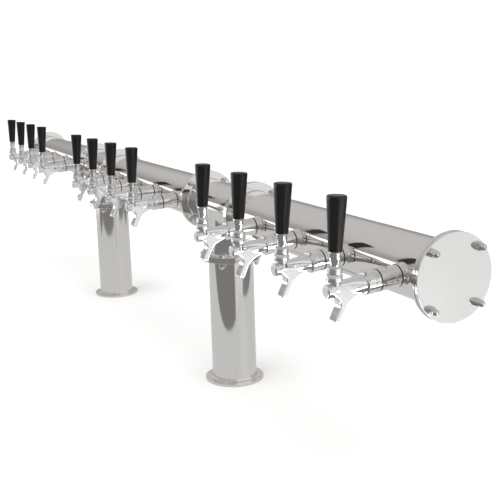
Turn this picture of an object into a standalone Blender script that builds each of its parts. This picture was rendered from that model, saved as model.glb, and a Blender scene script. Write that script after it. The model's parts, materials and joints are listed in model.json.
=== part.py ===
"""Modular beer tap tower: two flanged columns carry a horizontal 4-inch tube with twelve faucets.

World frame: X along the horizontal tube, faucets towards -Y, Z up, Z = 0 under the base flanges,
X = 0 and Y = 0 at the middle of the whole object's box. Metres.
"""
import math

import bmesh
import bpy
from mathutils import Matrix, Vector

MM = 0.001

# Driving dimensions, metres
TUBE_R = 50.8 * MM            # 4-inch tube, outer radius, for the runs and the columns
WALL = 2.0 * MM
FLANGE_R = 69.0 * MM
BASE_R = 67.0 * MM
PLATE = 6.0 * MM              # every flange plate and end disc
BOLT_RING = 60.5 * MM         # radius of the flange bolt circle
BASE_RING = 59.0 * MM         # radius of the floor screw circle
JOINT = 0.8 * MM              # space between two bolted flanges
SECTION = 636.0 * MM          # one faucet run, face to face
TEE_RUN = 240.0 * MM          # a tee, face to face
TEE_DROP = 110.0 * MM         # tee axis down to its column flange
AXIS_Z = 403.0 * MM           # height of the horizontal tube's axis
TAPS_PER_RUN = 4
TAP_PITCH = 156.0 * MM
END_MARGIN = 53.0 * MM        # last faucet to the right face of its run
REACH = 117.2 * MM            # tube surface to the handle's axis
DROOP = math.radians(3.5)     # the shanks point down a little, so that the spouts drain
LEAN = math.radians(5.9)      # a closed lever leans back from square by this much
BALL_Z = 16.5 * MM            # ball above the shank axis
TOUCH = 0.3 * MM              # gap between pieces that touch

HOLE_R = 4.4 * MM
HEX_R = 6.9 * MM              # cap nuts, corner radius
BODY_END = 53.5 * MM          # along the shank axis from the handle's axis: rear of the faucet's barrel
COUPLING_END = 61.3 * MM      # and rear of its coupling nut
CAP_FACE = -17.0 * MM         # and face of its front cap
CAP_LIP = 8.8 * MM            # radius of that face
SHANK_R = 17.0 * MM
SPIGOT_R = 11.0 * MM          # shank's end inside the coupling nut
TRUNK_R = 30.0 * MM           # insulated bundle of beer lines in a column

TUBE_SIDES = 24
TAP_SIDES = 10
FINE_SIDES = 8
HEX_SIDES = 6

ALONG_X = Matrix.Rotation(math.pi / 2, 4, "Y")
ALONG_Y = Matrix.Rotation(-math.pi / 2, 4, "X")

# Y of the tube's axis, so that the front caps and the flanges are equally far from Y = 0
FRONT = TUBE_R + (REACH - CAP_FACE) * math.cos(DROOP) + CAP_LIP * math.sin(DROOP)
AXIS_Y = (FRONT - FLANGE_R) / 2

RUN_STEP = SECTION + TEE_RUN + 2 * JOINT
RUN_X = {"left": -RUN_STEP, "middle": 0.0, "right": RUN_STEP}
COLUMN_X = {"left": -RUN_STEP / 2, "right": RUN_STEP / 2}


def clear_scene():
    for old in list(bpy.data.objects):
        bpy.data.objects.remove(old, do_unlink=True)


def new_collection(name):
    made = bpy.data.collections.new(name)
    bpy.context.scene.collection.children.link(made)
    return made


def finish(name, colour, roughness, metallic):
    made = bpy.data.materials.new(name)
    made.use_nodes = True
    shader = made.node_tree.nodes["Principled BSDF"]
    shader.inputs["Base Color"].default_value = (*colour, 1.0)
    shader.inputs["Roughness"].default_value = roughness
    shader.inputs["Metallic"].default_value = metallic
    return made


def tidy(mesh):
    work = bmesh.new()
    work.from_mesh(mesh)
    bmesh.ops.remove_doubles(work, verts=work.verts, dist=1e-6)
    bmesh.ops.dissolve_degenerate(work, edges=work.edges, dist=1e-6)
    bmesh.ops.recalc_face_normals(work, faces=work.faces)
    work.to_mesh(mesh)
    work.free()
    return mesh


def evaluated(thing):
    """A new mesh of the object with its modifiers, in the object's own frame."""
    bpy.context.view_layer.update()
    graph = bpy.context.evaluated_depsgraph_get()
    return bpy.data.meshes.new_from_object(thing.evaluated_get(graph))


def turned(name, profile, sides, ring=True):
    """A mesh turned about Z from (radius, height) points; a ring's profile closes on itself."""
    outline = bpy.data.meshes.new(name)
    count = len(profile)
    edges = [(i, i + 1) for i in range(count - 1)]
    if ring:
        edges.append((count - 1, 0))
    outline.from_pydata([(r, 0, z) for r, z in profile], edges, [])
    thing = bpy.data.objects.new(name, outline)
    bpy.context.scene.collection.objects.link(thing)
    screw = thing.modifiers.new("turn", "SCREW")
    screw.axis = "Z"
    screw.steps = sides
    screw.render_steps = sides
    screw.use_merge_vertices = True
    screw.merge_threshold = 0.00001
    mesh = evaluated(thing)
    bpy.data.objects.remove(thing, do_unlink=True)
    return tidy(mesh)


def rod(name, radius, low, high, sides):
    profile = [(0, high), (radius, high), (radius, low), (0, low)]
    return turned(name, profile, sides, ring=False)


def add(name, mesh, material, place=None):
    """A named piece; its mesh may be shared."""
    thing = bpy.data.objects.new(name, mesh)
    if place is not None:
        thing.matrix_world = place
    if not mesh.materials:
        mesh.materials.append(material)
    mesh.shade_smooth()
    mesh.set_sharp_from_angle(angle=math.radians(35))
    parts.objects.link(thing)
    return thing


def gathered(name, mesh, places):
    """One mesh that holds a separate copy of a mesh at each place."""
    work = bmesh.new()
    for place in places:
        copy = mesh.copy()
        copy.transform(place)
        work.from_mesh(copy)
        bpy.data.meshes.remove(copy)
    made = bpy.data.meshes.new(name)
    work.to_mesh(made)
    work.free()
    return tidy(made)


def add_cutter(name, mesh, place=None):
    thing = bpy.data.objects.new(name, mesh)
    if place is not None:
        thing.matrix_world = place
    thing.hide_render = True
    thing.display_type = "WIRE"
    cutters.objects.link(thing)
    return thing


def combine(target, tool, operation):
    change = target.modifiers.new(tool.name, "BOOLEAN")
    change.operation = operation
    change.solver = "EXACT"
    change.object = tool


def around(ring_radius, count=4):
    """Places on a circle about Z, half a step off the X axis."""
    step = 2 * math.pi / count
    turns = [Matrix.Rotation((i + 0.5) * step, 4, "Z") for i in range(count)]
    return [turn @ Matrix.Translation((ring_radius, 0, 0)) for turn in turns]


def tap_places():
    """Faucet frames from left to right: origin where handle and shank axes cross, +Y to the tube."""
    places = []
    for run_x in RUN_X.values():
        for i in range(TAPS_PER_RUN):
            x = run_x + SECTION / 2 - END_MARGIN - (TAPS_PER_RUN - 1 - i) * TAP_PITCH
            root = Matrix.Translation((x, AXIS_Y - TUBE_R, AXIS_Z))
            places.append(root @ Matrix.Rotation(DROOP, 4, "X") @ Matrix.Translation((0, -REACH, 0)))
    return places


def run_taps(side):
    first = list(RUN_X).index(side) * TAPS_PER_RUN
    return tap_places()[first:first + TAPS_PER_RUN]


# Tubes and flanges

def flanged_solid(name, half):
    """A solid round bar about Z with a flange plate at each end."""
    profile = [
        (0, half), (FLANGE_R, half), (FLANGE_R, half - PLATE), (TUBE_R, half - PLATE),
        (TUBE_R, PLATE - half), (FLANGE_R, PLATE - half), (FLANGE_R, -half), (0, -half),
    ]
    return turned(name, profile, TUBE_SIDES, ring=False)


def bolt_holes(name, faces, axis):
    """Cutters through each flange plate of a tube whose axis is turned to axis."""
    hole = rod(name, HOLE_R, -1.5 * PLATE, 1.5 * PLATE, HEX_SIDES)
    places = []
    for middle in faces:
        places += [axis @ Matrix.Translation((0, 0, middle)) @ spot for spot in around(BOLT_RING)]
    return gathered(name, hole, places)


def add_run(side):
    """One faucet run: a tube, two flanges and a welded, bored shank for each faucet."""
    centre = Matrix.Translation((RUN_X[side], AXIS_Y, AXIS_Z))
    thing = add("pipe_" + side, flanged_solid("pipe_" + side, SECTION / 2), steel, centre @ ALONG_X)
    inside = REACH + 4 * MM
    shank = turned("shank", [
        (0, inside), (SHANK_R, inside), (SHANK_R, COUPLING_END + TOUCH),
        (SPIGOT_R, COUPLING_END + TOUCH), (SPIGOT_R, BODY_END + TOUCH), (0, BODY_END + TOUCH),
    ], TAP_SIDES, ring=False)
    passage = rod("passage", 4 * MM, 0, REACH + 20 * MM, HEX_SIDES)
    places = [place @ ALONG_Y for place in run_taps(side)]
    combine(thing, add_cutter("shanks_" + side, gathered("shanks", shank, places)), "UNION")
    bore = rod("bore", TUBE_R - WALL, -SECTION, SECTION, TUBE_SIDES)
    combine(thing, add_cutter("bore_" + side, bore, centre @ ALONG_X), "DIFFERENCE")
    passages = gathered("passages", passage, places)
    combine(thing, add_cutter("passages_" + side, passages), "DIFFERENCE")
    faces = (PLATE / 2 - SECTION / 2, SECTION / 2 - PLATE / 2)
    bolts = add_cutter("run_bolt_holes_" + side, bolt_holes("run_bolt_holes", faces, ALONG_X), centre)
    combine(thing, bolts, "DIFFERENCE")


def add_tee(side):
    """A tee: a short flanged run with a flanged branch down to the column."""
    centre = Matrix.Translation((COLUMN_X[side], AXIS_Y, AXIS_Z))
    thing = add("tee_" + side, flanged_solid("tee_" + side, TEE_RUN / 2), steel, centre @ ALONG_X)
    profile = [
        (0, 0), (TUBE_R, 0), (TUBE_R, PLATE - TEE_DROP),
        (FLANGE_R, PLATE - TEE_DROP), (FLANGE_R, -TEE_DROP), (0, -TEE_DROP),
    ]
    turn = centre @ Matrix.Rotation(math.pi / TUBE_SIDES, 4, "Z")
    branch = add_cutter("branch_" + side, turned("branch", profile, TUBE_SIDES, ring=False), turn)
    combine(thing, branch, "UNION")
    bore = rod("bore", TUBE_R - WALL, -TEE_RUN, TEE_RUN, TUBE_SIDES)
    combine(thing, add_cutter("tee_bore_" + side, bore, centre @ ALONG_X), "DIFFERENCE")
    drop = rod("drop_bore", TUBE_R - WALL, -2 * TEE_DROP, 0, TUBE_SIDES)
    combine(thing, add_cutter("drop_bore_" + side, drop, turn), "DIFFERENCE")
    faces = (PLATE / 2 - TEE_RUN / 2, TEE_RUN / 2 - PLATE / 2)
    bolts = add_cutter("tee_bolt_holes_" + side, bolt_holes("tee_bolt_holes", faces, ALONG_X), centre)
    combine(thing, bolts, "DIFFERENCE")
    under = bolt_holes("branch_bolt_holes", (PLATE / 2 - TEE_DROP,), Matrix.Identity(4))
    combine(thing, add_cutter("branch_bolt_holes_" + side, under, centre), "DIFFERENCE")


def add_column(side):
    """A column: open tube, floor flange with screw holes, bolted flange on top."""
    foot = Matrix.Translation((COLUMN_X[side], AXIS_Y, 0))
    top = AXIS_Z - TEE_DROP - JOINT
    profile = [
        (TUBE_R - WALL, 0), (BASE_R, 0), (BASE_R, PLATE), (TUBE_R + 2 * MM, PLATE),
        (TUBE_R, PLATE + 2 * MM), (TUBE_R, top - PLATE), (FLANGE_R, top - PLATE),
        (FLANGE_R, top), (TUBE_R - WALL, top),
    ]
    thing = add("column_" + side, turned("column", profile, TUBE_SIDES), steel, foot)
    bolts = bolt_holes("column_bolt_holes", (top - PLATE / 2,), Matrix.Identity(4))
    combine(thing, add_cutter("column_bolt_holes_" + side, bolts, foot), "DIFFERENCE")
    screw_hole = rod("screw_hole", 2.9 * MM, -PLATE, 2 * PLATE, HEX_SIDES)
    screws = gathered("screw_holes", screw_hole, around(BASE_RING))
    combine(thing, add_cutter("screw_holes_" + side, screws, foot), "DIFFERENCE")


def end_face(side):
    """Centre of the outer face of the last run, with Z turned outward along X."""
    sign = 1 if side == "right" else -1
    x = RUN_X[side] + sign * SECTION / 2
    return Matrix.Translation((x, AXIS_Y, AXIS_Z)) @ Matrix.Rotation(sign * math.pi / 2, 4, "Y")


def add_end_cap(side):
    """The blind disc that closes a run, with the cap nuts of its four bolts."""
    outer = JOINT + PLATE
    place = end_face(side)
    disc = rod("end_cap_" + side, FLANGE_R, JOINT, outer, TUBE_SIDES)
    thing = add("end_cap_" + side, disc, steel, place)
    nut = turned("cap_nut", [
        (0, outer + 15 * MM), (3.6 * MM, outer + 13.2 * MM), (5.4 * MM, outer + 7 * MM),
        (HEX_R, outer + 7 * MM), (HEX_R, outer - 1 * MM), (0, outer - 1 * MM),
    ], HEX_SIDES, ring=False)
    nuts = add_cutter("cap_nuts_" + side, gathered("cap_nuts", nut, around(BOLT_RING)), place)
    combine(thing, nuts, "UNION")


def add_trunk(side):
    """The foam-jacketed bundle of beer and coolant lines that comes up a column."""
    foot = Matrix.Translation((COLUMN_X[side], AXIS_Y, 0))
    trunk = rod("trunk", TRUNK_R, 2 * MM, AXIS_Z + 12 * MM, TUBE_SIDES // 2)
    add("line_trunk_" + side, trunk, foam, foot)


# Faucets, in the faucet frame: +Y towards the tube, heights from the shank axis

def spout_outline():
    """Side view of spout and web as (y, z): down the front of the spout, back up its rear edge."""
    front = [(-11, -4), (-3, -8.5), (1.8, -14), (2.8, -20), (2.2, -25), (-7.7, -42.6), (-9, -45.4)]
    rear = [(0.5, -49.5), (5.7, -42.2), (11.1, -32.8), (17.9, -21.5), (27, -16.5), (45, -9.5)]
    return [(y * MM, z * MM) for y, z in front + rear + [(45, 0), (-11, 0)]]


def body_mesh():
    """Front cap, barrel, coupling nut, neck with domed bonnet, web and spout, with their bores.

    The dome is centred on the ball, so that the lever's cup clears it as it turns.
    """
    barrel = turned("barrel", [
        (0, BODY_END), (SPIGOT_R + 0.5 * MM, BODY_END), (SPIGOT_R + 0.5 * MM, COUPLING_END),
        (17.5 * MM, COUPLING_END), (17.5 * MM, 49 * MM), (16 * MM, 47 * MM), (14.2 * MM, 46.5 * MM),
        (14 * MM, 40 * MM), (10 * MM, CAP_FACE + 5 * MM), (10.6 * MM, CAP_FACE + 4.6 * MM),
        (10.6 * MM, CAP_FACE + 1.2 * MM), (CAP_LIP, CAP_FACE), (0, CAP_FACE),
    ], TAP_SIDES, ring=False)
    barrel.transform(ALONG_Y)
    body = add_cutter("body_blank", barrel)
    curve = bpy.data.curves.new("spout", "CURVE")
    curve.dimensions = "2D"
    curve.fill_mode = "BOTH"
    curve.extrude = 8 * MM
    outline = spout_outline()
    spline = curve.splines.new("POLY")
    spline.points.add(len(outline) - 1)
    for point, (y, z) in zip(spline.points, outline):
        point.co = (y, z, 0, 1)
    spline.use_cyclic_u = True
    flat = bpy.data.objects.new("spout", curve)
    cutters.objects.link(flat)
    plate = tidy(evaluated(flat))
    bpy.data.objects.remove(flat, do_unlink=True)
    plate.transform(Matrix(((0, 0, 1, 0), (1, 0, 0, 0), (0, 1, 0, 0), (0, 0, 0, 1))))
    combine(body, add_cutter("spout_plate", plate), "UNION")
    dome = 13.0 * MM
    neck = turned("neck", [
        (0, BALL_Z + ball_shell(dome, 8 * MM)), (8 * MM, BALL_Z + ball_shell(dome, 8 * MM)),
        (10.9 * MM, BALL_Z + ball_shell(dome, 10.9 * MM)), (12.7 * MM, BALL_Z + 2.4 * MM),
        (11.6 * MM, 13.2 * MM), (9.5 * MM, 12.8 * MM), (9.5 * MM, 0), (0, 0),
    ], TAP_SIDES, ring=False)
    combine(body, add_cutter("neck", neck), "UNION")
    main_bore = rod("main_bore", 6 * MM, CAP_FACE + 5 * MM, 60 * MM, FINE_SIDES)
    main_bore.transform(ALONG_Y)
    combine(body, add_cutter("main_bore", main_bore), "DIFFERENCE")
    socket = turned("socket", [
        (0, BALL_Z + 14 * MM), (9.6 * MM, BALL_Z + 14 * MM), (6.2 * MM, BALL_Z + 2.5 * MM),
        (6.2 * MM, 0), (0, 0),
    ], FINE_SIDES, ring=False)
    combine(body, add_cutter("socket", socket), "DIFFERENCE")
    slot = bpy.data.meshes.new("lever_slot")
    work = bmesh.new()
    bmesh.ops.create_cube(work, size=1.0)
    bmesh.ops.scale(work, vec=(6.6 * MM, 10 * MM, 10.5 * MM), verts=work.verts)
    bmesh.ops.translate(work, vec=(0, 5 * MM, 5.25 * MM), verts=work.verts)
    work.to_mesh(slot)
    work.free()
    combine(body, add_cutter("lever_slot", slot), "DIFFERENCE")
    tip = Vector((0, -4.2 * MM, -47.5 * MM))
    rise = Vector((0, 0.47, 0.883))
    drill = rod("spout_bore", 3.3 * MM, -8 * MM, 52 * MM, FINE_SIDES)
    drill.transform(Matrix.Translation(tip) @ rise.to_track_quat("Z", "X").to_matrix().to_4x4())
    combine(body, add_cutter("spout_bore", drill), "DIFFERENCE")
    mesh = tidy(evaluated(body))
    bpy.data.objects.remove(body, do_unlink=True)
    return mesh


def ball_shell(radius, across):
    """Height above the ball's centre of a sphere about it, at a distance from the axis."""
    return math.sqrt(radius ** 2 - across ** 2)


def lever_mesh():
    """Lever about Z with the ball's centre at the origin: fork tip, ball, stem, cup, ferrule."""
    cup = 13.8 * MM
    return turned("lever", [
        (0, 39.7 * MM), (10 * MM, 39.7 * MM), (7.5 * MM, 18.4 * MM), (10.2 * MM, 17.4 * MM),
        (10.2 * MM, ball_shell(cup, 10.2 * MM)), (7 * MM, ball_shell(cup, 7 * MM)),
        (2.8 * MM, ball_shell(cup, 2.8 * MM)), (2.8 * MM, 4.7 * MM), (5.5 * MM, 1.5 * MM),
        (5.5 * MM, -1.5 * MM), (2.5 * MM, -4.9 * MM), (2.5 * MM, -13.5 * MM), (0, -13.5 * MM),
    ], FINE_SIDES, ring=False)


def knob_mesh():
    return turned("knob", [
        (0, 121 * MM), (13 * MM, 121 * MM), (15 * MM, 118 * MM), (10.5 * MM, 40 * MM), (0, 40 * MM),
    ], TAP_SIDES, ring=False)


def plunger_mesh():
    """Spool along the shank axis: the lever's tip stands in its groove, its rear end is the valve."""
    mesh = turned("plunger", [
        (0, 44 * MM), (5.3 * MM, 44 * MM), (5.3 * MM, 40 * MM), (3.6 * MM, 39 * MM),
        (3.6 * MM, 3.3 * MM), (2 * MM, 3.3 * MM), (2 * MM, -6.1 * MM), (5 * MM, -6.1 * MM),
        (5 * MM, -10 * MM), (0, -10 * MM),
    ], HEX_SIDES, ring=False)
    mesh.transform(ALONG_Y)
    return mesh


def add_taps():
    body = body_mesh()
    lever = lever_mesh()
    knob = knob_mesh()
    plunger = plunger_mesh()
    for i, place in enumerate(tap_places(), start=1):
        pivot = place @ Matrix.Translation((0, 0, BALL_Z)) @ Matrix.Rotation(-LEAN, 4, "X")
        add(f"faucet_{i:02d}", body, chrome, place)
        add(f"lever_{i:02d}", lever, chrome, pivot)
        add(f"knob_{i:02d}", knob, plastic, pivot)
        add(f"plunger_{i:02d}", plunger, steel, place)


clear_scene()
parts = new_collection("beer_tap_tower")
cutters = new_collection("cutters")
steel = finish("polished_steel", (0.78, 0.77, 0.75), 0.12, 1.0)
chrome = finish("bright_chrome", (0.86, 0.87, 0.88), 0.06, 1.0)
plastic = finish("black_plastic", (0.012, 0.012, 0.013), 0.22, 0.0)
foam = finish("grey_foam", (0.25, 0.25, 0.26), 0.9, 0.0)
for run_side in RUN_X:
    add_run(run_side)
for column_side in COLUMN_X:
    add_tee(column_side)
    add_column(column_side)
    add_end_cap(column_side)
    add_trunk(column_side)
add_taps()
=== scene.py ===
import json
import math

import bmesh
import bpy
from mathutils import Matrix, Vector


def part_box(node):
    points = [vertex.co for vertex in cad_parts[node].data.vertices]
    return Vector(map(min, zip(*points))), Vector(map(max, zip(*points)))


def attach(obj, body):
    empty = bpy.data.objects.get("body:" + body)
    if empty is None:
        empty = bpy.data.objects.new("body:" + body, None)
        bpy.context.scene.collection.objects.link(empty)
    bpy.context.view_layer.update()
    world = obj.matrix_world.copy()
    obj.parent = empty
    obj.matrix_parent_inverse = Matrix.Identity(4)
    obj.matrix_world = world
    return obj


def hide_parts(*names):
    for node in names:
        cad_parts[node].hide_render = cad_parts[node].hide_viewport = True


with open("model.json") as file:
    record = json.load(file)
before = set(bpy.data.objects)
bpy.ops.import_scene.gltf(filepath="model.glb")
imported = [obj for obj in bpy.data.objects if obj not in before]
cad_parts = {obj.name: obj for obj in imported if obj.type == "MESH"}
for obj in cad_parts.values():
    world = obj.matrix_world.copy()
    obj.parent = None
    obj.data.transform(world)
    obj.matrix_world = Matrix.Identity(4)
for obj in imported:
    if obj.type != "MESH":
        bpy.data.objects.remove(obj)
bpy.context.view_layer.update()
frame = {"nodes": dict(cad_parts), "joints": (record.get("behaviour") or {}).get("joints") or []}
mm = 0.001
turnX = Matrix.Rotation(math.pi / 2, 4, "Y")      # a turned piece's axis, from Z to X
turnY = Matrix.Rotation(-math.pi / 2, 4, "X")     # and from Z to Y
print("frame loaded:", len(frame["nodes"]), "nodes")


view = {
    "aim": (0.5112, 0.0, -0.0632),      # from the middle of the tube
    "azimuth": 63.869, "elevation": 11.777, "roll": -1.624,
    "distance": 1.8597, "lens": 61.385, "shiftX": 0.0109, "shiftY": -0.0210,
}
flangeLow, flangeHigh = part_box("end_cap_right")
axisY = (flangeLow.y + flangeHigh.y) / 2
axisZ = (flangeLow.z + flangeHigh.z) / 2


def placeCamera():
    a, e, r = (math.radians(view[k]) for k in ("azimuth", "elevation", "roll"))
    back = Vector((math.sin(a) * math.cos(e), -math.cos(a) * math.cos(e), math.sin(e)))
    right = Vector((0, 0, 1)).cross(back).normalized()
    up = back.cross(right)
    side = right * math.cos(r) + up * math.sin(r)
    top = up * math.cos(r) - right * math.sin(r)
    aim = Vector(view["aim"]) + Vector((0, axisY, axisZ))
    camData = bpy.data.cameras.new("camera")
    camData.lens = view["lens"]
    camData.sensor_width = 36
    camData.shift_x = view["shiftX"]
    camData.shift_y = view["shiftY"]
    camData.clip_end = 100
    cam = bpy.data.objects.new("camera", camData)
    bpy.context.scene.collection.objects.link(cam)
    turn = Matrix((side, top, back)).transposed().to_4x4()
    cam.matrix_world = Matrix.Translation(aim + back * view["distance"]) @ turn
    bpy.context.scene.camera = cam


placeCamera()
print("camera placed")


def inMm(points):
    return [(x * mm, y * mm) for x, y in points]


def softCorners(points, radius, steps=3, keepEnds=False):
    # each corner of a profile becomes a short arc
    out = []
    count = len(points)
    for i, (x, y) in enumerate(points):
        if keepEnds and i in (0, count - 1):
            out.append((x, y))
            continue
        here = Vector((x, y))
        before = Vector(points[i - 1]) - here
        after = Vector(points[(i + 1) % count]) - here
        cut = min(radius, before.length * 0.45, after.length * 0.45)
        first = here + before.normalized() * cut
        last = here + after.normalized() * cut
        for j in range(steps + 1):
            t = j / steps
            spot = first * (1 - t) ** 2 + here * 2 * t * (1 - t) + last * t * t
            out.append((spot.x, spot.y))
    return out


def cleaned(bm, name):
    bmesh.ops.remove_doubles(bm, verts=bm.verts, dist=1e-6)
    bmesh.ops.dissolve_degenerate(bm, edges=bm.edges, dist=1e-7)
    bmesh.ops.recalc_face_normals(bm, faces=bm.faces)
    mesh = bpy.data.meshes.new(name)
    bm.to_mesh(mesh)
    bm.free()
    return mesh


def lathe(name, points, sides=96, ring=False):
    # points are (radius, height) in metres, about Z
    bm = bmesh.new()
    verts = [bm.verts.new((r, 0, z)) for r, z in points]
    edges = [bm.edges.new((a, b)) for a, b in zip(verts, verts[1:])]
    if ring:
        edges.append(bm.edges.new((verts[-1], verts[0])))
    bmesh.ops.spin(bm, geom=verts + edges, axis=(0, 0, 1), cent=(0, 0, 0),
                   angle=2 * math.pi, steps=sides, use_merge=True)
    return cleaned(bm, name)


def turned(name, points, sides=96, soft=0.0):
    # a turned solid, from the axis at the top to the axis at the bottom
    outline = [(0, points[0][1])] + points + [(0, points[-1][1])]
    if soft:
        outline = softCorners(outline, soft, keepEnds=True)
    return lathe(name, outline, sides)


def joined(name, meshes):
    # each entry is (mesh, place)
    bm = bmesh.new()
    for mesh, place in meshes:
        copy = mesh.copy()
        copy.transform(place)
        bm.from_mesh(copy)
        bpy.data.meshes.remove(copy)
    mesh = bpy.data.meshes.new(name)
    bm.to_mesh(mesh)
    bm.free()
    return mesh


def evaluated(mesh, addModifiers):
    # the mesh after the modifiers that addModifiers puts on it
    thing = bpy.data.objects.new("work", mesh)
    bpy.context.scene.collection.objects.link(thing)
    helpers = addModifiers(thing) or []
    bpy.context.view_layer.update()
    graph = bpy.context.evaluated_depsgraph_get()
    result = bpy.data.meshes.new_from_object(thing.evaluated_get(graph))
    for helper in [thing] + helpers:
        bpy.data.objects.remove(helper, do_unlink=True)
    result.name = mesh.name
    return result


def boolean(mesh, tool, operation):
    def add(thing):
        other = bpy.data.objects.new("tool", tool)
        bpy.context.scene.collection.objects.link(other)
        change = thing.modifiers.new("cut", "BOOLEAN")
        change.operation = operation
        change.solver = "EXACT"
        change.object = other
        return [other]
    return evaluated(mesh, add)


def remeshed(mesh, voxel, passes):
    def add(thing):
        cells = thing.modifiers.new("cells", "REMESH")
        cells.mode = "VOXEL"
        cells.voxel_size = voxel
        calm = thing.modifiers.new("calm", "SMOOTH")
        calm.factor = 0.5
        calm.iterations = passes
    return evaluated(mesh, add)


def bevelled(mesh, width, segments=3, angle=30):
    def add(thing):
        edge = thing.modifiers.new("edge", "BEVEL")
        edge.width = width
        edge.segments = segments
        edge.limit_method = "ANGLE"
        edge.angle_limit = math.radians(angle)
        edge.harden_normals = False
    return evaluated(mesh, add)


def around(radius, count, start=0.0):
    turns = [Matrix.Rotation(start + i * 2 * math.pi / count, 4, "Z") for i in range(count)]
    return [turn @ Matrix.Translation((radius, 0, 0)) for turn in turns]


def prism(name, radius, low, high, sides=6):
    bm = bmesh.new()
    bmesh.ops.create_cone(bm, cap_ends=True, segments=sides, radius1=radius, radius2=radius,
                          depth=high - low)
    bmesh.ops.translate(bm, vec=(0, 0, (low + high) / 2), verts=bm.verts)
    return cleaned(bm, name)


def finished(mesh, material, sharp=35):
    # smooth shading that keeps flat faces flat, with the material on it
    mesh.shade_smooth()
    mesh.set_sharp_from_angle(angle=math.radians(sharp))

    def add(thing):
        even = thing.modifiers.new("even", "WEIGHTED_NORMAL")
        even.keep_sharp = True
    mesh = evaluated(mesh, add)
    mesh.materials.clear()
    mesh.materials.append(material)
    return mesh


def addPiece(name, mesh, slot, body="tower", place=None, nodes=()):
    piece = bpy.data.objects.new(name, mesh)
    bpy.context.scene.collection.objects.link(piece)
    if place is not None:
        piece.matrix_world = place
    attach(piece, body)
    if nodes:
        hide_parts(*nodes)
    return piece


def newMaterial(name, colour, metallic, roughness):
    material = bpy.data.materials.new(name)
    material.use_nodes = True
    nodes = material.node_tree.nodes
    shader = nodes["Principled BSDF"]
    shader.inputs["Base Color"].default_value = (*colour, 1)
    shader.inputs["Metallic"].default_value = metallic
    shader.inputs["Roughness"].default_value = roughness
    return material, nodes, material.node_tree.links, shader


def noiseNode(nodes, links, scale, detail, stretch=(1, 1, 1)):
    place = nodes.new("ShaderNodeTexCoord")
    mapping = nodes.new("ShaderNodeMapping")
    mapping.inputs["Scale"].default_value = stretch
    noise = nodes.new("ShaderNodeTexNoise")
    noise.inputs["Scale"].default_value = scale
    noise.inputs["Detail"].default_value = detail
    links.new(place.outputs["Object"], mapping.inputs["Vector"])
    links.new(mapping.outputs["Vector"], noise.inputs["Vector"])
    return noise


def mapRange(nodes, links, source, low, high):
    ranged = nodes.new("ShaderNodeMapRange")
    ranged.inputs["From Min"].default_value = 0.3
    ranged.inputs["From Max"].default_value = 0.7
    ranged.inputs["To Min"].default_value = low
    ranged.inputs["To Max"].default_value = high
    links.new(source, ranged.inputs["Value"])
    return ranged.outputs["Result"]


def addBump(nodes, links, shader, height, strength, distance):
    bump = nodes.new("ShaderNodeBump")
    bump.inputs["Strength"].default_value = strength
    bump.inputs["Distance"].default_value = distance
    links.new(height, bump.inputs["Height"])
    links.new(bump.outputs["Normal"], shader.inputs["Normal"])


def metal(name, colour, tint, roughness, spread, grain, grainSize):
    # polished metal: faint cloudiness in gloss and colour, and very fine polishing lines
    material, nodes, links, shader = newMaterial(name, colour, 1.0, roughness)
    cloud = noiseNode(nodes, links, 9.0, 4.0)
    lines = noiseNode(nodes, links, grainSize, 2.0, grain)
    links.new(mapRange(nodes, links, cloud.outputs["Fac"], roughness - spread, roughness + spread),
              shader.inputs["Roughness"])
    mix = nodes.new("ShaderNodeMix")
    mix.data_type = "RGBA"
    mix.inputs["A"].default_value = (*colour, 1)
    mix.inputs["B"].default_value = (*tint, 1)
    links.new(mapRange(nodes, links, lines.outputs["Fac"], 0.0, 1.0), mix.inputs["Factor"])
    links.new(mix.outputs["Result"], shader.inputs["Base Color"])
    addBump(nodes, links, shader, lines.outputs["Fac"], 0.05, 0.00002)
    return material


def plastic(name, colour, tint, roughness, spread, bumpSize, bumpDepth):
    material, nodes, links, shader = newMaterial(name, colour, 0.0, roughness)
    cloud = noiseNode(nodes, links, 35.0, 3.0)
    grain = noiseNode(nodes, links, bumpSize, 2.0)
    links.new(mapRange(nodes, links, cloud.outputs["Fac"], roughness - spread, roughness + spread),
              shader.inputs["Roughness"])
    mix = nodes.new("ShaderNodeMix")
    mix.data_type = "RGBA"
    mix.inputs["A"].default_value = (*colour, 1)
    mix.inputs["B"].default_value = (*tint, 1)
    links.new(mapRange(nodes, links, cloud.outputs["Fac"], 0.0, 1.0), mix.inputs["Factor"])
    links.new(mix.outputs["Result"], shader.inputs["Base Color"])
    addBump(nodes, links, shader, grain.outputs["Fac"], 0.25, bumpDepth)
    return material


tubeSteel = metal("tubeSteel", (0.86, 0.84, 0.82), (0.83, 0.81, 0.79), 0.07, 0.02, (0.04, 1, 1), 420)
columnSteel = metal("columnSteel", (0.86, 0.84, 0.82), (0.83, 0.81, 0.79), 0.08, 0.02, (1, 1, 0.04), 420)
plateSteel = metal("plateSteel", (0.87, 0.86, 0.85), (0.84, 0.83, 0.82), 0.11, 0.03, (1, 1, 1), 600)
boltSteel = metal("boltSteel", (0.82, 0.81, 0.80), (0.76, 0.75, 0.74), 0.16, 0.04, (1, 1, 1), 900)
castChrome = metal("castChrome", (0.90, 0.90, 0.91), (0.87, 0.87, 0.88), 0.12, 0.03, (1, 1, 1), 500)
satinChrome = metal("satinChrome", (0.84, 0.85, 0.86), (0.80, 0.81, 0.82), 0.34, 0.05, (1, 1, 6), 300)
turnedChrome = metal("turnedChrome", (0.92, 0.92, 0.93), (0.87, 0.87, 0.88), 0.08, 0.02, (1, 1, 8), 300)
innerSteel = metal("innerSteel", (0.60, 0.60, 0.60), (0.52, 0.52, 0.52), 0.3, 0.05, (1, 1, 6), 300)
knobBlack = plastic("knobBlack", (0.0035, 0.0035, 0.004), (0.006, 0.006, 0.0065), 0.2, 0.03, 900, 0.00003)
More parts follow.
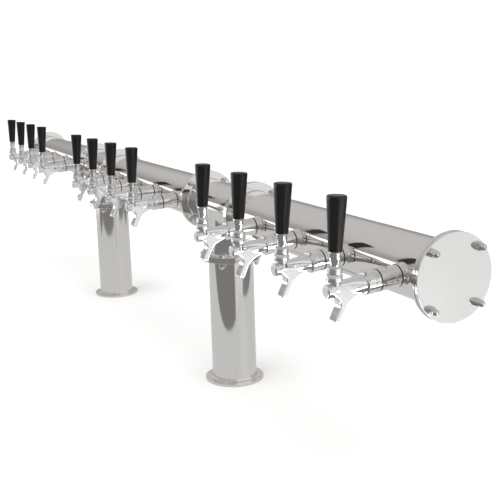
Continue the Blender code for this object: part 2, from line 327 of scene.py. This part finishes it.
sealBlack = plastic("sealBlack", (0.012, 0.012, 0.012), (0.02, 0.02, 0.02), 0.5, 0.08, 1400, 0.00006)
jacketGrey = plastic("jacketGrey", (0.05, 0.05, 0.052), (0.08, 0.08, 0.082), 0.8, 0.08, 500, 0.0004)
print("materials ready")


# sizes of the tube and its flanges
flange = {
    "tubeRadius": 50.8 * mm, "wall": 2.0 * mm, "radius": 69.0 * mm, "plate": 6.0 * mm,
    "boltRing": 60.5 * mm, "edge": 0.7 * mm, "weld": 2.2 * mm, "seal": 0.8 * mm,
    "sealBore": 44 * mm, "sealInset": 0.8 * mm,
}
hardware = {"corner": 6.8 * mm, "nutHeight": 6.6 * mm, "domeRadius": 5.3 * mm, "nutLength": 15.0 * mm,
            "headHeight": 5.3 * mm, "washerRadius": 7.6 * mm, "washer": 1.0 * mm}


def flangeStep(low, high, sign):
    # outline of one flange plate with its weld, for sign=1 from inner face to outer face
    r, outer, weld = flange["tubeRadius"], flange["radius"], flange["weld"]
    points = [(r, low - sign * weld), (r + weld * 0.3, low - sign * weld * 0.3), (r + weld, low)]
    points += [(outer, low), (outer, high)]
    return points if sign == 1 else points[::-1]


def flangedOutline(half):
    plate = flange["plate"]
    top = flangeStep(half - plate, half, 1)
    bottom = [(r, -z) for r, z in top[::-1]]
    return bottom, top


def tubeMesh(name, half):
    bottom, top = flangedOutline(half)
    bore = flange["tubeRadius"] - flange["wall"]
    points = [(bore, -half)] + bottom + top + [(bore, half)]
    return lathe(name, softCorners(points, flange["edge"]), 128, ring=True)


def hexPiece(name, corner, low, high):
    # a hexagon whose corners are turned off, as on a real nut
    body = prism(name, corner, low, high)
    flat = corner * 0.9
    lens = turned("lens", [
        (flat, high + 0.01 * mm), (corner * 1.02, high - 1.2 * mm),
        (corner * 1.02, low - 1 * mm), (flat, low - 1.01 * mm),
    ], 48)
    return bevelled(boolean(body, lens, "INTERSECT"), 0.18 * mm, 2, 25)


def capNut():
    low = hardware["washer"]
    nut = hexPiece("capNut", hardware["corner"], low, low + hardware["nutHeight"])
    dome = []
    r = hardware["domeRadius"]
    tip = hardware["nutLength"]
    base = low + hardware["nutHeight"] - 0.5 * mm
    shoulder = tip - r
    for i in range(13):
        a = math.pi / 2 * (1 - i / 12)
        dome.append((r * math.cos(a), shoulder + r * math.sin(a)))
    dome += [(r, base), (0, base)]
    washer = lathe("washer", softCorners([
        (4 * mm, low), (4 * mm, 0), (hardware["washerRadius"], 0), (hardware["washerRadius"], low),
    ], 0.3 * mm), 48, ring=True)
    return joined("capNut", [(nut, Matrix()), (lathe("dome", dome, 40), Matrix()), (washer, Matrix())])


nutMesh = capNut()
headMesh = hexPiece("hexHead", hardware["corner"], 0, hardware["headHeight"])
boltCircle = around(flange["boltRing"], 4, math.pi / 4)
flip = Matrix.Rotation(math.pi, 4, "X")

for side in ("left", "middle", "right"):
    low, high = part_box("pipe_" + side)
    half = (high.x - low.x) / 2
    place = Matrix.Translation(((low.x + high.x) / 2, axisY, axisZ)) @ turnX
    tube = finished(tubeMesh("faucetTube", half), tubeSteel)
    addPiece("faucetTube_" + side, tube, "polished_steel", place=place, nodes=("pipe_" + side,))
print("tubes made")


def teeMesh(name, half, drop):
    bottom, top = flangedOutline(half)
    run = turned(name, bottom + top, 96, flange["edge"])
    run.transform(turnX)
    branchTop = flangeStep(drop - flange["plate"], drop, 1)
    branch = turned("branch", [(flange["tubeRadius"], 0)] + branchTop, 96, flange["edge"])
    branch.transform(Matrix.Rotation(math.pi, 4, "X") @ Matrix.Rotation(0.02, 4, "Z"))
    return boolean(run, branch, "UNION")


for side in ("left", "right"):
    low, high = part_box("tee_" + side)
    centreX = (low.x + high.x) / 2
    half = (high.x - low.x) / 2
    tee = finished(teeMesh("tee", half, axisZ - low.z), tubeSteel)
    addPiece("tee_" + side + "_shell", tee, "polished_steel",
             place=Matrix.Translation((centreX, axisY, axisZ)), nodes=("tee_" + side,))

    # end disc with its four cap nuts
    sign = 1 if side == "right" else -1
    low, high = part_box("end_cap_" + side)
    innerX = low.x if sign == 1 else high.x
    plate, radius = flange["plate"], flange["radius"]
    disc = turned("endDisc", [(radius, plate), (radius, 0)], 128, flange["edge"])
    place = Matrix.Translation((innerX, axisY, axisZ)) @ Matrix.Rotation(sign * math.pi / 2, 4, "Y")
    addPiece("endDisc_" + side, finished(disc, plateSteel), "polished_steel", place=place,
             nodes=("end_cap_" + side,))
    nuts = joined("endNuts", [(nutMesh, Matrix.Translation((0, 0, plate)) @ spot) for spot in boltCircle])
    addPiece("endNuts_" + side, finished(nuts, boltSteel), "polished_steel", place=place)
print("tees and end discs made")


column = {
    "baseRadius": 67.0 * mm, "screwRing": 59.0 * mm,
    "screwHole": 2.9 * mm, "sink": 4.6 * mm, "sinkDepth": 2.0 * mm,
}


def columnMesh(top):
    r, wall, plate = flange["tubeRadius"], flange["wall"], flange["plate"]
    weld = flange["weld"]
    points = [(r - wall, 0), (column["baseRadius"], 0), (column["baseRadius"], plate)]
    points += [(r + weld, plate), (r + weld * 0.35, plate + weld * 0.35), (r, plate + weld)]
    points += flangeStep(top - plate, top, 1) + [(r - wall, top)]
    tube = lathe("column", softCorners(points, flange["edge"]), 128, ring=True)
    hole, sink = column["screwHole"], column["sink"]
    drill = turned("drill", [
        (sink * 1.2, plate + 1 * mm), (sink, plate),
        (hole, plate - column["sinkDepth"]), (hole, -1 * mm),
    ], 32)
    drills = joined("drills", [(drill, spot) for spot in around(column["screwRing"], 4, math.pi / 4)])
    return boolean(tube, drills, "DIFFERENCE")


for side in ("left", "right"):
    low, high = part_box("column_" + side)
    place = Matrix.Translation(((low.x + high.x) / 2, axisY, low.z))
    tube = finished(columnMesh(high.z - low.z), columnSteel)
    addPiece("column_" + side + "_tube", tube, "polished_steel", place=place, nodes=("column_" + side,))
print("columns made")


def jointPieces(name, place):
    # place: middle of the gap between two flanges, Z towards the cap nuts
    reach = flange["plate"] + flange["seal"] / 2
    bolts = []
    for spot in boltCircle:
        bolts.append((nutMesh, Matrix.Translation((0, 0, reach)) @ spot))
        bolts.append((headMesh, Matrix.Translation((0, 0, -reach)) @ spot @ flip))
    bolts = finished(joined("jointBolts", bolts), boltSteel)
    addPiece("joint_" + name + "_bolts", bolts, "polished_steel", place=place)
    edge = flange["radius"] - flange["sealInset"]
    bore = flange["sealBore"]
    thick = flange["seal"] / 2 - 0.02 * mm
    ring = lathe("gasket", [(bore, -thick), (edge, -thick), (edge, thick), (bore, thick)], 96, ring=True)
    addPiece("joint_" + name + "_gasket", finished(ring, sealBlack), "black_plastic", place=place)


for side in ("left", "right"):
    low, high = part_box("tee_" + side)
    seal = flange["seal"] / 2
    for end, x in (("outLeft", low.x - seal), ("outRight", high.x + seal)):
        jointPieces(side + "_" + end, Matrix.Translation((x, axisY, axisZ)) @ turnX)
    middleX = (low.x + high.x) / 2
    jointPieces(side + "_column", Matrix.Translation((middleX, axisY, low.z - seal)) @ flip)
print("flange joints made")


# faucet frame: +Y towards the tube, Z up the bonnet, origin on the shank axis under the ball
faucet = {
    "ball": 16.5 * mm, "reach": 117.2 * mm, "lean": math.radians(5.9), "capFace": -17.0 * mm,
    "spoutHalfWidth": 9.2 * mm, "voxel": 0.6 * mm, "calm": 8,
    # outline of the spout's web from the side: (along, up), in millimetres
    "webFront": [(-9, -2), (-4.5, -8.2), (-0.4, -11.4), (2.2, -15.6), (3.0, -20.4), (2.0, -25.6),
                 (-0.8, -31), (-4.8, -37.6), (-9.2, -45.6)],
    "webRear": [(0.3, -49.7), (5.5, -41), (10.6, -31.5), (17.4, -22.3), (27, -16.6), (44, -11)],
    # sections of the barrel: along, half width, half height, squareness, in millimetres
    "barrel": [(-12.2, 10.0, 10.0, 2.0), (-9, 9.6, 10.2, 2.2), (-3, 9.0, 10.6, 3.0), (8, 8.8, 11.0, 3.6),
               (20, 9.2, 11.6, 3.4), (32, 10.6, 12.6, 2.8), (42, 13.2, 13.8, 2.1), (47.5, 14.2, 14.2, 2.0)],
    "neck": [(9.5, 13), (9.3, 8), (9.8, 0)],
    "outletRadius": 3.7 * mm, "outletTip": (0, -4.4 * mm, -47.6 * mm), "outletAxis": (0, 0.47, 0.883),
    # room left inside for the plunger and for the lever's pin
    "boreGap": 0.4 * mm, "boreBack": 60 * mm, "boreFront": -11 * mm, "mouthRadius": 6.0 * mm,
    "slotMiddle": (0, 2.2 * mm, 6 * mm), "slotSize": (3.3 * mm, 6.3 * mm, 14.5 * mm),
}


def ringSection(y, halfWidth, halfHeight, power, count=48):
    # one cross-section of the barrel: round at power 2, squarer above
    points = []
    for i in range(count):
        a = 2 * math.pi * i / count
        c, s = math.cos(a), math.sin(a)
        x = halfWidth * math.copysign(abs(c) ** (2 / power), c)
        z = halfHeight * math.copysign(abs(s) ** (2 / power), s)
        points.append((x, y, z))
    return points


def loft(name, sections):
    bm = bmesh.new()
    rings = [[bm.verts.new(p) for p in section] for section in sections]
    for first, second in zip(rings, rings[1:]):
        for i in range(len(first)):
            j = (i + 1) % len(first)
            bm.faces.new((first[i], first[j], second[j], second[i]))
    bm.faces.new(rings[0])
    bm.faces.new(rings[-1])
    return cleaned(bm, name)


def smoothLine(points, steps):
    # Catmull-Rom curve through 2D points
    out = []
    for i in range(len(points) - 1):
        p0 = Vector(points[max(i - 1, 0)])
        p1, p2 = Vector(points[i]), Vector(points[i + 1])
        p3 = Vector(points[min(i + 2, len(points) - 1)])
        for j in range(steps):
            t = j / steps
            out.append(0.5 * ((2 * p1) + (p2 - p0) * t + (2 * p0 - 5 * p1 + 4 * p2 - p3) * t * t
                              + (3 * p1 - p0 - 3 * p2 + p3) * t ** 3))
    out.append(Vector(points[-1]))
    return out


def spoutMesh():
    # side outline: down the front edge, across the tip, back up the rear edge
    front = smoothLine(faucet["webFront"], 5)
    rear = smoothLine(faucet["webRear"], 5)
    outline = inMm(front + rear) + inMm([(44, 2), (-9, 2)])
    bm = bmesh.new()
    half = faucet["spoutHalfWidth"]
    near = [bm.verts.new((half, y, z)) for y, z in outline]
    far = [bm.verts.new((-half, y, z)) for y, z in outline]
    bm.faces.new(near)
    bm.faces.new(far[::-1])
    for i in range(len(outline)):
        j = (i + 1) % len(outline)
        bm.faces.new((near[i], near[j], far[j], far[i]))
    plate = cleaned(bm, "spout")
    return bevelled(plate, 2.2 * mm, 4, 60)


def castBody():
    barrel = loft("castBody", [
        ringSection(y * mm, w * mm, h * mm, power) for y, w, h, power in faucet["barrel"]
    ])
    neck = turned("neck", inMm(faucet["neck"]), 64)
    shells = [(barrel, Matrix()), (spoutMesh(), Matrix()), (neck, Matrix())]
    body = remeshed(joined("castBody", shells), faucet["voxel"], faucet["calm"])
    radius = faucet["outletRadius"]
    outlet = turned("outlet", [(radius, 7 * mm), (radius, -7 * mm)], 40)
    turn = Vector(faucet["outletAxis"]).to_track_quat("Z", "X").to_matrix().to_4x4()
    outlet.transform(Matrix.Translation(faucet["outletTip"]) @ turn)
    body = boolean(body, outlet, "DIFFERENCE")

    # room inside for the plunger and for the lever's pin to swing
    low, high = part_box("plunger_01")
    radius = (high.x - low.x) / 2 + faucet["boreGap"]
    bore = turned("bore", [(radius, faucet["boreBack"]), (radius, faucet["boreFront"])], 48)
    bore.transform(turnY)
    radius = faucet["mouthRadius"]
    mouth = turned("mouth", [(radius, 14 * mm), (radius, 7 * mm)], 48)
    slot = prism("slot", math.sqrt(2), -0.5, 0.5, 4)
    size = Matrix.Diagonal((*faucet["slotSize"], 1)) @ Matrix.Rotation(math.pi / 4, 4, "Z")
    slot.transform(Matrix.Translation(faucet["slotMiddle"]) @ size)
    for cutter in (bore, mouth, slot):
        body = boolean(body, cutter, "DIFFERENCE")
    return body


# (radius, behind the cap's face), in millimetres
cap = {"outline": [(7.6, 0), (7.8, 1.0), (9.2, 1.0), (10.5, 2.2), (10.5, 5.2)], "edge": 0.4 * mm}


def frontCap():
    points = [(r, faucet["capFace"] + depth) for r, depth in inMm(cap["outline"])]
    return turned("frontCap", points, 64, cap["edge"])


def domeRadius(radius, across):
    return math.sqrt(radius ** 2 - across ** 2)


nut = {
    "dome": 13.0, "domeRadii": (8.0, 8.8, 9.6, 10.4, 11.2, 12.0, 12.5),
    # (radius, above the ball), then (radius, height), in millimetres
    "skirt": [(12.7, 2.0), (12.5, -1.2)], "foot": [(11.6, 13.4), (9.6, 12.9)], "bore": (6.2, 2.5),
}


def bonnet():
    ball = faucet["ball"]
    dome = [(r * mm, ball + domeRadius(nut["dome"] * mm, r * mm)) for r in nut["domeRadii"]]
    skirt = [(r, ball + rise) for r, rise in inMm(nut["skirt"])]
    bore, rise = nut["bore"]
    inner = [(bore * mm, 13 * mm), (bore * mm, ball + rise * mm)]
    return lathe("bonnet", dome + skirt + inMm(nut["foot"]) + inner, 64, ring=True)


coupling = {
    # (radius, along), in millimetres
    "outline": [(14.5, 46.6), (16.0, 46.8), (17.4, 48.8), (17.5, 61.2), (11.4, 61.2), (11.4, 46.6)],
    "pinRadius": 1.7 * mm, "pinDepth": 4 * mm, "pinTurn": 0.35, "pinRing": 17 * mm, "pinAlong": 50.2 * mm,
}


def couplingNut():
    shell = lathe("couplingNut", softCorners(inMm(coupling["outline"]), 0.5 * mm), 72, ring=True)
    radius, depth = coupling["pinRadius"], coupling["pinDepth"]
    pin = turned("pin", [(radius, depth), (radius, -depth)], 20)
    spot = Matrix.Translation((coupling["pinRing"], 0, coupling["pinAlong"])) @ turnX
    places = [Matrix.Rotation(i * math.pi / 4 + coupling["pinTurn"], 4, "Z") @ spot for i in range(8)]
    return boolean(shell, joined("pins", [(pin, p) for p in places]), "DIFFERENCE")


shank = {
    "radius": 17.0 * mm, "ringOne": 71.4 * mm, "ringTwo": 107.4 * mm, "groove": 2.2 * mm,
    "depth": 1.6 * mm, "neckRadius": 11.0 * mm, "neck": (54 * mm, 61.6 * mm),
    "bossRise": 1.2 * mm, "boss": (115.0 * mm, 117.5 * mm, 121.5 * mm), "edge": 0.35 * mm,
    # pin holes: along, then the turn of the first
    "pinRadius": 1.5 * mm, "pinDepth": 3 * mm, "pins": [(66.0 * mm, 0.9), (88.0 * mm, 0.15)],
    "sealInner": 1.5 * mm, "sealProud": 0.25 * mm,
}


def shankMesh():
    r, groove = shank["radius"], shank["groove"]
    neck, deep, boss = shank["neckRadius"], r - shank["depth"], r + shank["bossRise"]
    start, end = shank["neck"]
    points = [(neck, start), (neck, end), (r, end)]
    for ring in (shank["ringOne"], shank["ringTwo"]):
        points += [(r, ring - groove / 2), (deep, ring - groove / 2),
                   (deep, ring + groove / 2), (r, ring + groove / 2)]
    points += list(zip((r, boss, boss), shank["boss"]))
    bar = turned("shank", points, 80, shank["edge"])
    radius, depth = shank["pinRadius"], shank["pinDepth"]
    pin = turned("pin", [(radius, depth), (radius, -depth)], 20)
    places = []
    for along, first in shank["pins"]:
        for i in range(4):
            turn = Matrix.Rotation(first + i * math.pi / 2, 4, "Z")
            places.append(turn @ Matrix.Translation((r, 0, along)) @ turnX)
    return boolean(bar, joined("pins", [(pin, p) for p in places]), "DIFFERENCE")


def shankSeals():
    r, half = shank["radius"], shank["groove"] / 2 - 0.05 * mm
    inner, outer = r - shank["sealInner"], r + shank["sealProud"]
    rings = []
    for middle in (shank["ringOne"], shank["ringTwo"]):
        points = softCorners([
            (inner, middle - half), (outer, middle - half), (outer, middle + half), (inner, middle + half),
        ], 0.5 * mm)
        rings.append((lathe("seal", points, 72, ring=True), Matrix()))
    return joined("shankSeals", rings)


# (radius, height above the ball's centre), in millimetres
lever = {
    "collar": [(6.0, 18.6), (9.4, 18.4), (11.2, 17.2), (11.3, 16.2), (11.3, 9.8)],
    "cup": 13.8, "cupRadii": (11.0, 9.9, 8.4, 6.8, 5.2, 3.6, 2.8),
    "stem": [(2.8, 5.0), (3.9, 3.9), (5.1, 2.0), (5.5, 0), (5.1, -2.0), (3.9, -3.9), (2.5, -4.9),
             (2.5, -13.5)],
    "ferrule": [(9.7, 39.9), (9.7, 37.8), (8.9, 31.0), (6.6, 20.4), (6.4, 18.2), (7.4, 17.9)],
    "knob": [(13.4, 121.0), (14.9, 119.2), (14.8, 115.5), (10.35, 41.2), (9.9, 40.1)],
}


def leverMesh():
    # collar cupped over the dome, then ball and pin
    under = [(r * mm, domeRadius(lever["cup"] * mm, r * mm)) for r in lever["cupRadii"]]
    top = softCorners(inMm(lever["collar"]), 0.5 * mm, keepEnds=True)
    return turned("leverCollar", top + under + inMm(lever["stem"]), 64)


def ferruleMesh():
    return turned("ferrule", inMm(lever["ferrule"]), 64, 0.5 * mm)


def knobMesh():
    return turned("knob", inMm(lever["knob"]), 72, 1.2 * mm)


shapes = {
    "body": (castBody(), castChrome), "cap": (frontCap(), turnedChrome),
    "bonnet": (bonnet(), satinChrome), "coupling": (couplingNut(), turnedChrome),
    "shank": (shankMesh(), tubeSteel), "seals": (shankSeals(), sealBlack),
    "lever": (leverMesh(), satinChrome), "ferrule": (ferruleMesh(), turnedChrome),
    "knob": (knobMesh(), knobBlack),
}
for key, (mesh, material) in shapes.items():
    if key in ("cap", "coupling", "shank", "seals"):
        mesh.transform(turnY)
    shapes[key] = finished(mesh, material, 50 if key in ("body", "knob") else 35)
print("faucet shapes made:", {key: len(mesh.polygons) for key, mesh in shapes.items()})

hinges = [j for j in frame["joints"] if j["name"].startswith("lever_hinge")]
slides = {j["name"][-2:]: j for j in frame["joints"] if j["name"].startswith("plunger_slide")}
fixedParts = (
    ("cap", "frontCap_", "bright_chrome"), ("bonnet", "bonnet_", "bright_chrome"),
    ("coupling", "couplingNut_", "bright_chrome"), ("shank", "shank_", "polished_steel"),
    ("seals", "shankSeals_", "black_plastic"),
)
for hinge in hinges:
    number = hinge["name"][-2:]
    along = Vector(slides[number]["axis"]).normalized()
    up = Vector((0, -along.z, along.y))
    ball = Vector(hinge["pos_m"])
    turn = Matrix((Vector((1, 0, 0)), along, up)).transposed().to_4x4()
    place = Matrix.Translation(ball - up * faucet["ball"]) @ turn
    pivot = Matrix.Translation(ball) @ turn @ Matrix.Rotation(-faucet["lean"], 4, "X")
    addPiece("spout_" + number, shapes["body"], "bright_chrome", place=place, nodes=("faucet_" + number,))
    for key, label, slot in fixedParts:
        addPiece(label + number, shapes[key], slot, place=place)
    body = "lever_" + number
    addPiece("leverArm_" + number, shapes["lever"], "bright_chrome", body, pivot, (body,))
    addPiece("ferrule_" + number, shapes["ferrule"], "bright_chrome", body, pivot)
    addPiece("handle_" + number, shapes["knob"], "black_plastic", body, pivot, ("knob_" + number,))
print("faucets placed:", len(hinges))

# the trunks and plungers stay as they are and only take a finish
for name, node in frame["nodes"].items():
    inner = innerSteel if name.startswith("plunger") else jacketGrey
    if name.startswith(("plunger", "line_trunk")):
        node.data.materials.clear()
        node.data.materials.append(inner)


stage = {
    "floor": 0.86, "floorReach": 90, "sun": 3.1, "sunSpread": 75, "sunTurn": (12, 10),
    "wall": 1.1, "wallRadius": 70, "wallHeight": (-1, 60), "wallSides": 48, "warmth": 0.965,
    # table top under each column: brightness, turn, and its reach ahead and across
    "table": 0.62, "tableTurn": 43, "tableAhead": (-1.6, 0.78), "tableAcross": (-1.5, 0.45),
    # room brightness against height, -1 straight down to 1 straight up
    "room": [(-1.0, 0.20), (-0.10, 0.22), (0.02, 0.34), (0.2, 0.36), (0.36, 0.56), (0.6, 0.60), (1.0, 0.5)],
    # light patches round the room: middle azimuth, half width, lowest and highest height, brightness
    "patches": [(34, 24, -0.52, -0.37, 13.0), (11, 20, -0.31, -0.02, 0.70), (-148, 9, -0.5, -0.34, 9.0),
                (-150, 34, -0.16, 0.10, 1.9), (25, 45, 0.05, 0.45, 0.9)],
    "patchEdge": 0.02,
    # card beside the right end disc: distance, azimuth, drop, width, height, brightness
    "card": (1.0, 40, 0.28, 0.9, 0.52, 0.84),
}
bpy.context.scene.view_settings.view_transform = "Standard"


def plane(name, corners, z, material):
    bm = bmesh.new()
    bm.faces.new([bm.verts.new((x, y, z)) for x, y in corners])
    piece = bpy.data.objects.new(name, cleaned(bm, name))
    piece.data.materials.append(material)
    bpy.context.scene.collection.objects.link(piece)
    return piece


def glowMaterial(name, strength):
    glow = bpy.data.materials.new(name)
    glow.use_nodes = True
    nodes, links = glow.node_tree.nodes, glow.node_tree.links
    nodes.remove(nodes["Principled BSDF"])
    light = nodes.new("ShaderNodeEmission")
    light.inputs["Color"].default_value = (0.99, 1.0, 1.0, 1)
    light.inputs["Strength"].default_value = strength
    links.new(light.outputs["Emission"], nodes["Material Output"].inputs["Surface"])
    return glow


def onlyInReflections(card):
    card.visible_camera = False
    card.visible_diffuse = False
    card.visible_shadow = False


def makeFloor():
    tone, reach = stage["floor"], stage["floorReach"]
    material = newMaterial("paleFloor", (tone, tone, tone), 0.0, 0.6)[0]
    square = ((-reach, -reach), (reach, -reach), (reach, reach), (-reach, reach))
    floor = plane("floor", square, -0.2 * mm, material)
    floor.visible_glossy = False
    floor.visible_shadow = False


def makeTableCards():
    # what the metal sees under it: a lit table top set cornerwise under each column
    glow = glowMaterial("tableGlow", stage["table"])
    a = math.radians(stage["tableTurn"])
    ahead, across = Vector((math.cos(a), math.sin(a))), Vector((math.sin(a), -math.cos(a)))
    (back, front), (near, far) = stage["tableAhead"], stage["tableAcross"]
    for side, z in (("left", -0.4 * mm), ("right", -0.6 * mm)):
        low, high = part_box("column_" + side)
        middle = Vector(((low.x + high.x) / 2, axisY))
        corners = [tuple(middle + ahead * u + across * v)
                   for u, v in ((back, near), (front, near), (front, far), (back, far))]
        onlyInReflections(plane("tableCard_" + side, corners, z, glow))


def makeSideCard():
    # what the right end disc sees
    reach, azimuth, drop, width, height, tone = stage["card"]
    low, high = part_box("end_cap_right")
    a = math.radians(azimuth)
    away = Vector((math.cos(a), math.sin(a), -drop))
    centre = Vector((high.x, axisY, axisZ)) + away * reach
    side = Vector((-math.sin(a), math.cos(a), 0)) * width / 2
    rise = away.cross(side).normalized() * height / 2
    bm = bmesh.new()
    signs = ((-1, -1), (1, -1), (1, 1), (-1, 1))
    bm.faces.new([bm.verts.new(centre + side * u + rise * v) for u, v in signs])
    card = bpy.data.objects.new("sideCard", cleaned(bm, "sideCard"))
    card.data.materials.append(glowMaterial("sideGlow", tone))
    bpy.context.scene.collection.objects.link(card)
    onlyInReflections(card)


def makeWall():
    # a pale wall all round, far off
    bm = bmesh.new()
    count, radius = stage["wallSides"], stage["wallRadius"]
    foot, top = stage["wallHeight"]
    low, high = [], []
    for i in range(count):
        a = 2 * math.pi * i / count
        x, y = radius * math.cos(a), radius * math.sin(a)
        low.append(bm.verts.new((x, y, foot)))
        high.append(bm.verts.new((x, y, top)))
    for i in range(count):
        j = (i + 1) % count
        bm.faces.new((low[i], low[j], high[j], high[i]))
    wall = bpy.data.objects.new("wall", cleaned(bm, "wall"))
    wall.data.materials.append(glowMaterial("wallGlow", stage["wall"]))
    bpy.context.scene.collection.objects.link(wall)
    wall.visible_glossy = False
    wall.visible_diffuse = False
    wall.visible_shadow = False


def makeRoom():
    world = bpy.data.worlds.new("studio")
    bpy.context.scene.world = world
    world.use_nodes = True
    nodes, links = world.node_tree.nodes, world.node_tree.links
    place = nodes.new("ShaderNodeTexCoord")
    parts = nodes.new("ShaderNodeSeparateXYZ")
    links.new(place.outputs["Generated"], parts.inputs["Vector"])

    def calc(operation, a, b):
        node = nodes.new("ShaderNodeMath")
        node.operation = operation
        for slot, value in zip(node.inputs, (a, b)):
            if isinstance(value, (int, float)):
                slot.default_value = value
            else:
                links.new(value, slot)
        return node.outputs[0]

    def ease(value, low, high):
        node = nodes.new("ShaderNodeMapRange")
        node.interpolation_type = "SMOOTHSTEP"
        node.inputs["From Min"].default_value = low
        node.inputs["From Max"].default_value = high
        links.new(value, node.inputs["Value"])
        return node.outputs["Result"]

    def between(value, low, high):
        rising = ease(value, low - soft, low + soft)
        return calc("MULTIPLY", rising, ease(calc("MULTIPLY", value, -1.0), -high - soft, -high + soft))

    soft = stage["patchEdge"]
    height = parts.outputs["Z"]
    flat = calc("MAXIMUM", calc("SUBTRACT", 1.0, calc("MULTIPLY", height, height)), 0.0001)
    level = calc("SQRT", flat, 0)
    ramp = nodes.new("ShaderNodeValToRGB")
    stops = ramp.color_ramp.elements
    while len(stops) < len(stage["room"]):
        stops.new(0.5)
    for stop, (z, tone) in zip(stops, stage["room"]):
        stop.position = (z + 1) / 2
        stop.color = (tone, tone * stage["warmth"] ** 0.5, tone * stage["warmth"], 1)
    links.new(calc("MULTIPLY", calc("ADD", height, 1.0), 0.5), ramp.inputs["Fac"])
    colour = ramp.outputs["Color"]
    for azimuth, half, low, high, strength in stage["patches"]:
        a = math.radians(azimuth)
        along = calc("ADD", calc("MULTIPLY", parts.outputs["X"], math.cos(a)),
                     calc("MULTIPLY", parts.outputs["Y"], math.sin(a)))
        near = calc("DIVIDE", along, level)
        edge = math.cos(math.radians(half))
        inside = calc("MULTIPLY", ease(near, edge - soft, edge + soft), between(height, low, high))
        mix = nodes.new("ShaderNodeMix")
        mix.data_type = "RGBA"
        links.new(inside, mix.inputs["Factor"])
        links.new(colour, mix.inputs["A"])
        mix.inputs["B"].default_value = (strength, strength, strength, 1)
        colour = mix.outputs["Result"]
    links.new(colour, nodes["Background"].inputs["Color"])


def makeSun():
    sun = bpy.data.lights.new("softSun", "SUN")
    sun.energy = stage["sun"]
    sun.angle = math.radians(stage["sunSpread"])
    lamp = bpy.data.objects.new("softSun", sun)
    bpy.context.scene.collection.objects.link(lamp)
    turnAboutX, turnAboutY = (math.radians(turn) for turn in stage["sunTurn"])
    lamp.rotation_euler = (turnAboutX, turnAboutY, 0)
    lamp.visible_glossy = False


makeFloor()
makeTableCards()
makeSideCard()
makeWall()
makeRoom()
makeSun()
print("stage and light ready")
